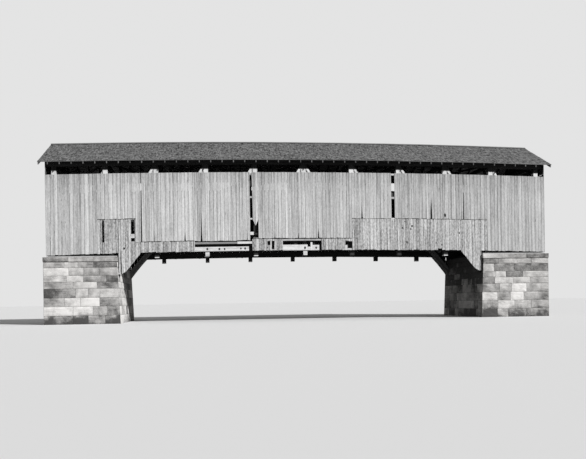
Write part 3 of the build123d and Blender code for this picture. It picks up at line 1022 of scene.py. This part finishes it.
# %% Lay both slopes
courses = round(SLOPE_LENGTH / EXPOSURE)
for side, node, material in ((-1, "front_roof", eave_wood), (1, "back_roof", paler_wood)):
    dice = random.Random(node)
    piece = new_piece()
    for number in range(courses):
        butt = SLOPE_LENGTH - number * SLOPE_LENGTH / courses
        pour(piece, shingle_course(roof_slope(side), butt, dice))
    finish_piece(piece, node + "_shingles", shingle_wood, [node], "roof_shingle")
    finish_piece(sheathing(roof_slope(side), dice), node + "_sheathing", material, [node])

# %% [markdown]
# ## The ridge
#
# Two boards meet over the ridge, in lengths that butt over the posts.

# %% Ridge boards
CAP_WIDTH = 0.17
CAP_FACES = (0.051, 0.073)
BUTT_GAP = 0.002
dice = random.Random("ridge")
piece = new_piece()
for side in (-1, 1):
    for start, end in lengths(-ROOF_HALF, ROOF_HALF):
        ends = (start + BUTT_GAP, end - BUTT_GAP)
        tone = dice.uniform(0.3, 0.7)
        bar(piece, roof_slope(side), ends, (CAP_WIDTH / SLOPE_COS, 0), CAP_FACES, tone)
soften(piece, BOARD_EDGE)
finish_piece(piece, "ridge_boards", ridge_wood, ["ridge_cap"], "roof_shingle")

# %% [markdown]
# ## The deck
#
# Loads cross the bridge on thick planks laid side to side over the stringers.

# %% Deck planks
BEAM_DEPTH = 0.30
STRINGER_DEPTH = 0.15
DECK_THICKNESS = 0.075
DECK_TOP = CHORD_TOP + BEAM_DEPTH + STRINGER_DEPTH + DECK_THICKNESS
DECK_HALF = 2.59
PLANK_WIDTHS = (0.20, 0.28)
DEEPEST_WEAR = 0.006


def on_deck(along, depth, across):
    return Vector((along, across, DECK_TOP - fall(along) - depth))


dice = random.Random("deck")
piece = new_piece()
x = -HALF_LENGTH
while x < HALF_LENGTH - 0.01:
    width = min(dice.uniform(*PLANK_WIDTHS), HALF_LENGTH - x)
    centre, half = x + width / 2, width / 2 - 0.003
    depths = (DECK_THICKNESS, dice.uniform(0, DEEPEST_WEAR))
    tone = chance_tone(dice, 0.5, 0.2)
    bar(piece, on_deck, (centre - half, centre + half), depths, (-DECK_HALF, DECK_HALF), tone)
    x += width
soften(piece, 0.004)
finish_piece(piece, "deck_planks", deck_wood, ["floor_deck"], "deck_plank")

# %% [markdown]
# ## Timbers
#
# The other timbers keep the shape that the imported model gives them. Each node is copied, its loose
# triangles are merged into clean faces, its edges are worn, and each timber in it gets its own
# tone.

# %% Worn copies of the timbers
TIMBER_EDGE = 0.007


def islands(piece):
    """The separate solids in a mesh, as sets of faces."""
    left = set(piece.faces)
    while left:
        found, waiting = set(), [left.pop()]
        while waiting:
            face = waiting.pop()
            found.add(face)
            near = {other for edge in face.edges for other in edge.link_faces} & left
            left -= near
            waiting.extend(near)
        yield found


def worn_timbers(node, material):
    dice = random.Random(node)
    piece = new_piece()
    piece.from_mesh(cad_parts[node].data)
    bmesh.ops.remove_doubles(piece, verts=piece.verts, dist=0.00005)
    bmesh.ops.dissolve_limit(
        piece, angle_limit=math.radians(0.5), verts=piece.verts, edges=piece.edges, delimit=set()
    )
    soften(piece, TIMBER_EDGE)
    for faces in islands(piece):
        set_tone(piece, faces, chance_tone(dice, 0.5, 0.22))
    finish_piece(piece, node + "_worn", material, [node])


timber_finishes = {
    "bottom_chord": lengthwise_wood,
    "posts": upright_wood,
    "braces": brace_wood,
    "arch_rib_outer": arch_wood,
    "arch_rib_inner": arch_wood,
    "top_plate": lengthwise_wood,
    "knee_braces": crosswise_wood,
    "rafters": rafter_wood,
    "nailer_blocks": upright_wood,
}
for ending, material in timber_finishes.items():
    worn_timbers("front_" + ending, material)
    # The far ribs take the lighter painted copy of the rib finish.
    worn_timbers("back_" + ending, far_arch_painted_lighter if material is arch_wood else material)
for node in (
    "floor_beams", "floor_stringers", "tie_beams", "upper_laterals",
    "left_bed_timbers", "right_bed_timbers", "left_sleepers", "right_sleepers",
):
    along = node.endswith(("stringers", "sleepers"))
    worn_timbers(node, lengthwise_wood if along else crosswise_wood)

# %% [markdown]
# ## Rails
#
# The boards are nailed to six rows of rails, painted as dark as the rest of the frame for the shade
# behind the boards. Where a board is missing, they are painted pale for the sunlight on them, and
# each span's tone paints its light and shade. Under each row's height a list of spans gives those
# places: from, to, lowest and highest point, and tone. Where only from and to are given, no rail
# shows, and none is made.

# %% Rails of both walls
RAIL_FACES = (-0.045, -0.001)
RAIL_HALF = 0.05
FOOT_RAIL = 4.01
FOOT_RAIL_HALF = 0.12
# The tones paint each visible span's sunlight and shade, lower where the boards above shade it.
shown_rails = {
    8.13: [(-3.05, -2.85, 8.08, 8.18, 0.5), (4.90, 5.16, 8.08, 8.18, 0.9)],
    6.83: [(-3.05, -2.85, 6.79, 6.89, 0.3), (4.90, 5.16, 6.76, 6.87, 0.2)],
    5.64: [(-3.05, -2.85, 5.60, 5.69, 0.5), (4.90, 5.16, 5.59, 5.69, 1.0)],
    4.82: [
        (-10.99, -10.84), (-9.47, -9.23, 4.70, 4.915, 0.6),
        (-3.05, -2.82, 4.76, 4.93, 0.9), (-2.82, -2.54),
    ],
    4.40: [
        (-6.06, -3.73, 4.285, 4.395, -0.5), (-3.73, -2.88, 4.28, 4.405, 1.2),
        (-2.12, -1.62), (-1.24, 0.95, 4.415, 4.515, 0.1),
    ],
    FOOT_RAIL: [
        (-6.06, -3.097, 3.89, 4.13, 0.8), (-3.097, -2.88), (-2.12, -1.62),
        (-1.24, 0.16, 3.885, 4.20, 1.0), (0.16, 0.32, 3.885, 4.08, 0.8),
        (0.32, 0.43, 3.885, 4.33, 1.2), (0.43, 0.81, 3.885, 4.18, 1.0), (0.81, 0.97),
        (2.20, 2.40, 3.89, 4.17, 0.8), (2.40, 2.7, 3.89, 3.99, 0.6), (7.55, 7.87),
    ],
}


def rail(piece, wall, start, end, low, high, tone):
    for left, right in lengths(start, end):
        ends = (left + BUTT_GAP, right - BUTT_GAP)
        bar(piece, wall, ends, (low, high), RAIL_FACES, tone)


painted_sunlit = new_piece()
for side in ("front", "back"):
    dice = random.Random(side + " rails")
    dark = new_piece()
    for height, spans in shown_rails.items():
        half = FOOT_RAIL_HALF if height == FOOT_RAIL else RAIL_HALF
        reached = -HALF_LENGTH
        spans = spans if side == "front" else []
        for start, end, *shown in spans + [(HALF_LENGTH, HALF_LENGTH)]:
            if start > reached:
                tone = dice.uniform(0.3, 0.8)
                rail(dark, walls[side], reached, start, height - half, height + half, tone)
            if shown:
                rail(painted_sunlit, walls[side], start, end, *shown)
            reached = end
    soften(dark, BOARD_EDGE)
    finish_piece(dark, side + "_rails", lengthwise_wood, [side + "_nailers"])
    if side == "front":
        soften(painted_sunlit, BOARD_EDGE)
        finish_piece(painted_sunlit, "painted_sunlit_rails", rail_wood, ["front_nailers"])

# %% [markdown]
# ## Tail blocks
#
# Two of the post tails on the photographed side were faced with a short new block.

# %% Tail blocks
BLOCK_START = -0.082
BLOCK_END = 0.142
BLOCK_HEIGHTS = (3.62, 3.85)
BLOCK_FACES = (-0.16, 0)
piece = new_piece()
for post in (POSTS[3], POSTS[5]):
    ends = (post + BLOCK_START, post + BLOCK_END)
    bar(piece, front_wall, ends, BLOCK_HEIGHTS, BLOCK_FACES, 0.7)
soften(piece, 0.006)
finish_piece(piece, "tail_blocks", rail_wood)

# %% [markdown]
# ## Wedges over the braces
#
# A long wedge is driven between each brace's head and the plate, and shows beside the post over the
# boards. At the middle post, where two braces meet, there are two. The leftmost brace of the
# photographed side has none.

# %% Brace wedges
WEDGE_GAP = 0.002
WEDGE_HALF = 0.148
at_post = {-1: (0.0, BRACE_CREST), 1: (0.0, 8.675)}
at_toe = {-1: (0.42, 7.75), 1: (0.30, 8.19)}
piece = new_piece()
for truss in TRUSSES:
    for post in POSTS[1:-1]:
        for end in (-1, 1):
            if post * end < 0 or (truss < 0 and post == POSTS[1]):
                continue

            def place(x, y, z):
                reach, height = at_post[z] if x < 0 else at_toe[z]
                along = post + end * (POST_WIDTH / 2 + WEDGE_GAP + reach)
                return Vector((along, truss + y * WEDGE_HALF, height - fall(along)))

            box(piece, place, 0.7)
soften(piece, 0.005)
finish_piece(piece, "brace_wedges", wedge_wood)

# %% [markdown]
# ## Packing on the seats
#
# A short block stands under each bottom chord at the edge of the bridge seat, and a thin strip lies
# on the seat under the foot of each wall.

# %% Shims and strips
SEAT_CLEARANCE = 0.001
BED = SEAT_TOP + SEAT_CLEARANCE
SHIM_PLACE = 10.22
SHIM_HALF = 0.08
SHIM_HALF_WIDTH = 0.14
STRIP_TOP = 3.655
STRIP_ENDS = (10.20, HALF_LENGTH)
STRIP_SIDES = (3.225, 3.275)
shims, strips = new_piece(), new_piece()
for end in (-1, 1):
    for side, truss in zip((-1, 1), TRUSSES):

        def place(x, y, z):
            out = SHIM_PLACE + x * SHIM_HALF
            height = BED if z < 0 else FOOT - fall(out) - SEAT_CLEARANCE
            return Vector((end * out, truss + y * SHIM_HALF_WIDTH, height))

        box(shims, place, 0.5)
        bar(strips, abutment(end, side), STRIP_ENDS, (BED, STRIP_TOP), STRIP_SIDES, 0.6)
soften(shims, 0.004)
finish_piece(shims, "chord_shims", crosswise_wood)
soften(strips, BOARD_EDGE)
finish_piece(strips, "seat_strips", paler_wood)

# %% [markdown]
# ## Stonework
#
# The imported abutment stays as the core that shows in the joints, and blocks with rough, slightly
# pillowed faces stand a finger proud of it in level courses. The face towards the span leans back
# and leaves the pockets of the arches open. That face of the right abutment is painted darker towards
# its top, and its pocket stones darker still, for the shade under the bridge; the near edge of the
# left one's is painted lighter for the sunlight on it.

# %% Stone blocks
COURSES = [0.0, 0.47, 0.95, 1.42, 1.905, 2.26, 2.60, 3.03, 3.325]
ABUTMENT_HALF = 3.40
FACE_FOOT = 10.05
FACE_TOP = 10.20
ABUTMENT_BACK = 14.05
POCKET_HALF = 0.285
POCKET_FOOT = 2.62
POCKET_TOP = 3.15
PROUD = 0.022
MOST_PROUD = 0.034
ROUGHNESS = 0.014
BLOCK_DEPTH = 0.08
JOINT = 0.012
IN_SHADOW = 1.1


def rough_block(piece, corner, low, high, span, dice, damp_and_painted_light=0.0):
    """One block of facing between two heights: corner(along, height, out) places it."""
    start, end = span
    block = new_piece()
    tone = chance_tone(dice, 0.5, 0.28) - damp_and_painted_light
    bmesh.ops.create_cube(block, size=2.0)
    front = [edge for edge in block.edges if all(v.co.y < 0 for v in edge.verts)]
    bmesh.ops.subdivide_edges(block, edges=front, cuts=4, use_grid_fill=True)
    seed = Vector((dice.uniform(0, 90), dice.uniform(0, 90), dice.uniform(0, 90)))
    for vert in block.verts:
        x, y, z = vert.co
        along = (start + end) / 2 + x * ((end - start) / 2 - JOINT / 2)
        height = (low + high) / 2 + z * ((high - low) / 2 - JOINT / 2)
        out = -BLOCK_DEPTH
        if y < 0:
            rough = noise.noise(Vector((along * 5, height * 7, 0)) + seed) * ROUGHNESS
            on_edge = max(abs(x), abs(z)) > 0.98
            out = PROUD * 0.35 + rough * 0.3 if on_edge else PROUD + rough
        vert.co = corner(along, height, min(out, MOST_PROUD))
    set_tone(block, block.faces, tone)
    pour(piece, block)


def course_stops(start, end, dice):
    stops = [start]
    while end - stops[-1] > 1.6:
        stops.append(stops[-1] + dice.uniform(0.6, 1.25))
    return stops + [end]


def span_face_painted_light(name, low, span):
    """How much darker or lighter a stone of the span face is painted: painted shade on the right
    abutment, painted sunlight on the left one's near edge.
    """
    if name == "right":
        return max(low - 1.2, 0) * 0.6
    return -0.45 if sum(span) / 2 < -0.5 else 0.0


def face_batter(height):
    """How far the span face has leaned back at a height."""
    return FACE_FOOT + (FACE_TOP - FACE_FOOT) * height / COURSES[-1]


# %% Lay the abutments
for side, name in ((-1, "left"), (1, "right")):

    def span_face(along, height, out):
        return Vector((side * (face_batter(height) - out), along, height))

    def road_face(along, height, out):
        return Vector((side * (ABUTMENT_BACK + out), along, height))

    def front_face(along, height, out, face=-1):
        return Vector((side * along, face * (ABUTMENT_HALF + out), height))

    def back_face(along, height, out):
        return front_face(along, height, out, 1)

    dice = random.Random(name + " masonry")
    piece = new_piece()
    pockets = [(truss - POCKET_HALF, truss + POCKET_HALF) for truss in TRUSSES]
    for low, high in pairwise(COURSES):
        near = face_batter((low + high) / 2)
        cuts = pockets if high > POCKET_FOOT and low < POCKET_TOP else []
        ends = [-ABUTMENT_HALF, *sum(cuts, ()), ABUTMENT_HALF]
        faces = [(front_face, near, ABUTMENT_BACK), (back_face, near, ABUTMENT_BACK)]
        faces.append((road_face, -ABUTMENT_HALF, ABUTMENT_HALF))
        faces += [(span_face, start, end) for start, end in zip(ends[::2], ends[1::2])]
        for corner, start, end in faces:
            for span in pairwise(course_stops(start, end, dice)):
                damp_and_painted_light = span_face_painted_light(name, low, span) if corner is span_face else 0.0
                rough_block(piece, corner, low, high, span, dice, damp_and_painted_light)
    # Painted shade on the right abutment's pocket stones.
    for span in pockets:
        damp_and_painted_light = IN_SHADOW if name == "right" else 0.0
        rough_block(piece, span_face, POCKET_TOP, COURSES[-1], span, dice, damp_and_painted_light)
    finish_piece(piece, name + "_facing_stones", block_stone, [], "cut_stone")
    core_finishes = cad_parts[name + "_abutment"].data.materials
    core_finishes.clear()
    core_finishes.append(core_stone)

# %% [markdown]
# ## Bridge seats
#
# The seat is one course of longer, better-dressed stones with a small lip. Their tones are painted
# darker than the facing's for the shade on them, and the right abutment's near stones darker still.

# %% Seat stones
SEAT_HALF = 3.43
SEAT_ROWS = [10.17, 11.45, 12.75, 14.08]
HALF_JOINT = 0.003
for side, name in ((-1, "left"), (1, "right")):
    dice = random.Random(name + " seat")
    piece = new_piece()
    for near, far in pairwise(SEAT_ROWS):
        for start, end in pairwise(course_stops(-SEAT_HALF, SEAT_HALF, dice)):
            # Painted shade: a darker tone for every seat stone, and darker still under the right end
            # of the bridge.
            tone = chance_tone(dice, 0.35, 0.2)
            if near == SEAT_ROWS[0] and name == "right" and (start + end) / 2 > -2:
                tone -= IN_SHADOW
            ends = (near + HALF_JOINT, far - HALF_JOINT)
            sides = (start + HALF_JOINT, end - HALF_JOINT)
            bar(piece, abutment(side), ends, (SEAT_FOOT, SEAT_TOP), sides, tone)
    soften(piece, 0.010)
    finish_piece(piece, name + "_seat_stones", block_stone, [name + "_bridge_seat"], "cut_stone")

# %% [markdown]
# ## Floor, light and background
#
# A plain pale floor, a soft sun from the right of the camera as in the photograph, and an even sky.
# The camera sees floor and sky at the pale grey of the photograph's sky, but they light the object
# less.

# %% Floor
GROUND_SHADE = 0.20
GROUND_SEEN = 0.76
material, finish = new_finish("pale_ground")
seen = finish.node("ShaderNodeLightPath", {}, {}, "Is Camera Ray")
colour = seen.mix(grey(GROUND_SHADE), grey(GROUND_SEEN))
surface = finish.node("ShaderNodeBsdfPrincipled", {}, {"Base Color": colour, "Roughness": 1.0})
finish.node("ShaderNodeOutputMaterial", {}, {"Surface": surface})
shape = bmesh.new()
bmesh.ops.create_grid(shape, x_segments=1, y_segments=1, size=400)
ground = new_object(shape, "ground", material)
ground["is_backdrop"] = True
print("floor corners:", [tuple(vert.co) for vert in ground.data.vertices])

# %% Sun and sky
SUN_HEIGHT = math.radians(31.2)
SUN_SIDE = math.radians(45)
SKY_SEEN = 0.775
SKY_LIGHT = 0.22
sun = bpy.data.lights.new("low_sun", "SUN")
sun.energy = 4.2
sun.angle = math.radians(2.5)
lamp = bpy.data.objects.new("low_sun", sun)
scene.collection.objects.link(lamp)
flat = math.cos(SUN_HEIGHT)
towards = (flat * math.sin(SUN_SIDE), -flat * math.cos(SUN_SIDE), math.sin(SUN_HEIGHT))
lamp.rotation_euler = Vector(towards).to_track_quat("Z", "Y").to_euler()

world = bpy.data.worlds.new("even_sky")
world.use_nodes = True
scene.world = world
finish = Finish(world.node_tree)
path = finish.node("ShaderNodeLightPath", {}, {}, "Is Camera Ray")
direct = path + path.beside("Is Glossy Ray") + path.beside("Is Transmission Ray")
lighting = finish.node("ShaderNodeBackground", {}, {"Color": grey(1.0), "Strength": SKY_LIGHT})
showing = finish.node("ShaderNodeBackground", {}, {"Color": grey(SKY_SEEN), "Strength": 1.0})
sky = finish.node("ShaderNodeMixShader", {}, {0: direct, 1: lighting, 2: showing})
finish.node("ShaderNodeOutputWorld", {}, {"Surface": sky})
scene.view_settings.view_transform = "Standard"
print("sun from", [round(share, 3) for share in towards])

# %% [markdown]
# ## Size
#
# Both boxes, the imported bridge's and the dressed one's, are printed. The dressed bridge has
# to stay the size of the imported one.

# %% Print both boxes and finish
low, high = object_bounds()
sizes = {"cad": [list(cad_low), list(cad_high)], "visual": [list(low), list(high)]}
print(sizes)
